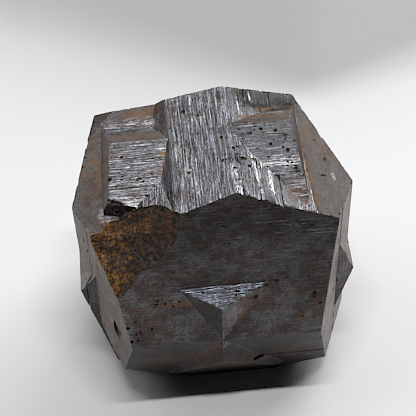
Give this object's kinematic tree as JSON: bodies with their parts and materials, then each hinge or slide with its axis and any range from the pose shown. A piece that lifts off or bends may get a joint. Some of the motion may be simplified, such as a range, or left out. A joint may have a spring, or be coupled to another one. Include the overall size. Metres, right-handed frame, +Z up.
{
  "type": "iron cross pyrite twin",
  "caption": "Natural pyrite twin of interpenetrating striated crystals with blunt ridges, stepped roofs, fine pits and a broken corner, resting on a small flat.",
  "frame": {"origin": "on the ground, under the middle of the outline", "axes": "+Z up as it rests, -Y towards the large dark front face, +X to the right of it"},
  "size_m": [0.0532, 0.0468, 0.0526],
  "materials": {
    "pyrite": "weathered metallic, striated"
  },
  "bodies": {
    "root": {"iron_cross_twin": "pyrite"}
  },
  "joints": []
}
